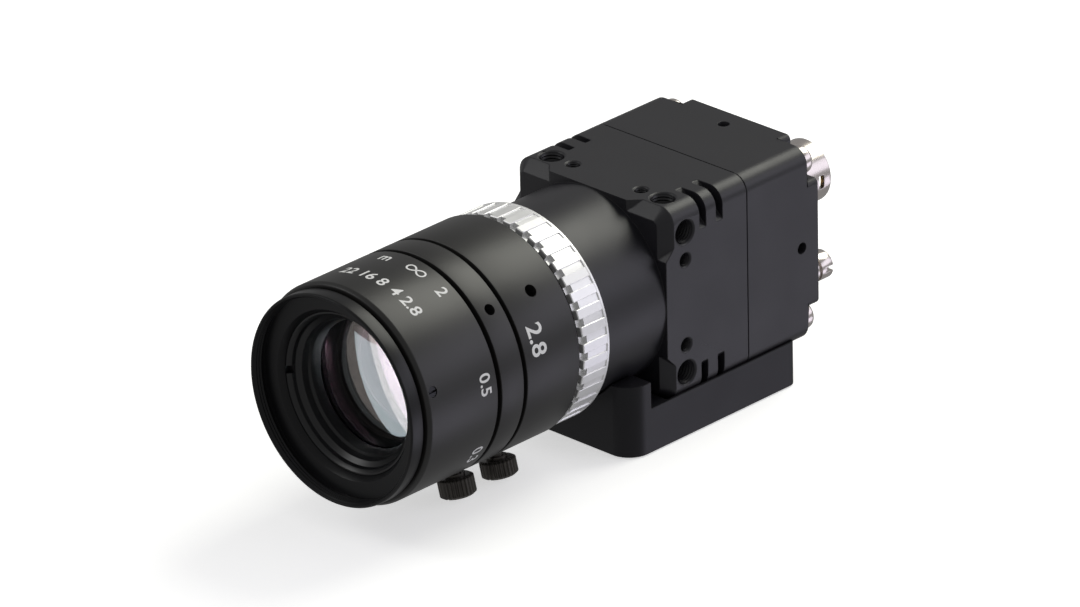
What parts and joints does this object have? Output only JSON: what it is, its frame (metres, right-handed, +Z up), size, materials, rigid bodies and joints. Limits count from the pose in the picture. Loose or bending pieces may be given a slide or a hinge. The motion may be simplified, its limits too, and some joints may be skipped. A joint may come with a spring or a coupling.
{
  "type": "machine vision camera",
  "caption": "Small square black machine vision camera with a manual fixed-focal lens, a bright toothed mount ring, two lock screws, rear connectors and a tripod base.",
  "frame": {"origin": "centre of the mouth of the tripod thread in the underside of the base", "axes": "+Z up, the lens looks along -Y, +X is to the left of someone behind the camera looking forward"},
  "size_m": [0.033, 0.0921, 0.0371],
  "materials": {
    "black_anodise": "satin black anodised aluminium",
    "lens_black": "satin black anodised aluminium",
    "bright_aluminium": "bright satin aluminium",
    "dark_steel": "blackened steel",
    "plain_steel": "ground steel",
    "nickel": "satin nickel",
    "blade_black": "matt black sheet steel",
    "coated_glass": "polished and coated",
    "filter_glass": "polished",
    "black_plastic": "moulded",
    "contact_gold": "gold plated",
    "board_green": "solder mask",
    "sensor_ceramic": "ceramic"
  },
  "bodies": {
    "camera": {"mounting_base": "black_anodise", "base_screws": "dark_steel", "front_housing": "black_anodise", "rear_housing": "black_anodise", "rear_screws": "nickel", "connector_shell": "nickel", "connector_insulator": "black_plastic", "connector_contacts": "contact_gold", "data_connector_shell": "nickel", "data_connector_tongue": "black_plastic", "jack_posts": "nickel", "sensor_board": "board_green", "processor_board": "board_green", "interface_board": "board_green", "board_spacers": "bright_aluminium", "board_links": "black_plastic", "sensor_standoffs": "bright_aluminium", "image_sensor": "sensor_ceramic", "sensor_cover_glass": "coated_glass", "blocking_filter": "filter_glass", "filter_ring": "lens_black", "mount_ring": "bright_aluminium", "lens_barrel": "lens_black", "index_ring": "lens_black", "guide_screw_top": "dark_steel", "guide_screw_bottom": "dark_steel", "guide_pin": "plain_steel", "iris_seat": "lens_black", "iris_retainer": "lens_black", "rear_cell": "lens_black", "rear_inner_element": "coated_glass", "rear_spacer": "lens_black", "rear_outer_element": "coated_glass", "rear_retainer": "lens_black"},
    "focus_ring": {"focus_ring": "lens_black", "focus_set_screws": "dark_steel"},
    "front_barrel": {"front_barrel": "lens_black", "front_retainer": "lens_black", "front_element": "coated_glass", "lens_spacer": "lens_black", "second_element": "coated_glass"},
    "iris_ring": {"iris_ring": "lens_black", "iris_set_screw": "dark_steel", "iris_drive_pin": "plain_steel", "iris_rotor": "lens_black"},
    "focus_lock_screw": {"focus_lock_screw": "dark_steel"},
    "iris_lock_screw": {"iris_lock_screw": "dark_steel"},
    "iris_blade_1": {"iris_blade_1": "blade_black"},
    "iris_blade_2": {"iris_blade_2": "blade_black"},
    "iris_blade_3": {"iris_blade_3": "blade_black"},
    "iris_blade_4": {"iris_blade_4": "blade_black"},
    "iris_blade_5": {"iris_blade_5": "blade_black"},
    "iris_blade_6": {"iris_blade_6": "blade_black"}
  },
  "joints": [
    {"name": "focus_turn", "type": "hinge", "parent": "camera", "child": "focus_ring", "pos_m": [0, -0.051, 0.0206], "axis": [0, -1, 0], "range_deg": [0, 113]},
    {"name": "focus_travel", "type": "slide", "parent": "camera", "child": "front_barrel", "axis": [0, -1, 0], "range_m": [0, 0.0023]},
    {"name": "iris_turn", "type": "hinge", "parent": "camera", "child": "iris_ring", "pos_m": [0, -0.0332, 0.0206], "axis": [0, -1, 0], "range_deg": [0, 75]},
    {"name": "focus_lock_turn", "type": "hinge", "parent": "camera", "child": "focus_lock_screw", "pos_m": [0.00494, -0.0414, 0.00215], "axis": [0.2588, 0, -0.9659], "range_deg": [0, 360]},
    {"name": "iris_lock_turn", "type": "hinge", "parent": "iris_ring", "child": "iris_lock_screw", "pos_m": [0.00494, -0.033, 0.00215], "axis": [0.2588, 0, -0.9659], "range_deg": [0, 360]},
    {"name": "blade_1_swing", "type": "hinge", "parent": "camera", "child": "iris_blade_1", "pos_m": [0.0118, -0.035, 0.0213], "axis": [0, -1, 0], "range_deg": [0, 38]},
    {"name": "blade_2_swing", "type": "hinge", "parent": "camera", "child": "iris_blade_2", "pos_m": [0.00529, -0.035, 0.03117], "axis": [0, -1, 0], "range_deg": [0, 38]},
    {"name": "blade_3_swing", "type": "hinge", "parent": "camera", "child": "iris_blade_3", "pos_m": [-0.00651, -0.035, 0.03047], "axis": [0, -1, 0], "range_deg": [0, 38]},
    {"name": "blade_4_swing", "type": "hinge", "parent": "camera", "child": "iris_blade_4", "pos_m": [-0.0118, -0.035, 0.0199], "axis": [0, -1, 0], "range_deg": [0, 38]},
    {"name": "blade_5_swing", "type": "hinge", "parent": "camera", "child": "iris_blade_5", "pos_m": [-0.00529, -0.035, 0.01003], "axis": [0, -1, 0], "range_deg": [0, 38]},
    {"name": "blade_6_swing", "type": "hinge", "parent": "camera", "child": "iris_blade_6", "pos_m": [0.00651, -0.035, 0.01073], "axis": [0, -1, 0], "range_deg": [0, 38]}
  ],
  "couplings": [
    {"joint": "focus_travel", "follows": "focus_turn", "m_per_rad": 0.001146},
    {"joint": "blade_1_swing", "follows": "iris_turn", "ratio": 0.5},
    {"joint": "blade_2_swing", "follows": "iris_turn", "ratio": 0.5},
    {"joint": "blade_3_swing", "follows": "iris_turn", "ratio": 0.5},
    {"joint": "blade_4_swing", "follows": "iris_turn", "ratio": 0.5},
    {"joint": "blade_5_swing", "follows": "iris_turn", "ratio": 0.5},
    {"joint": "blade_6_swing", "follows": "iris_turn", "ratio": 0.5}
  ]
}
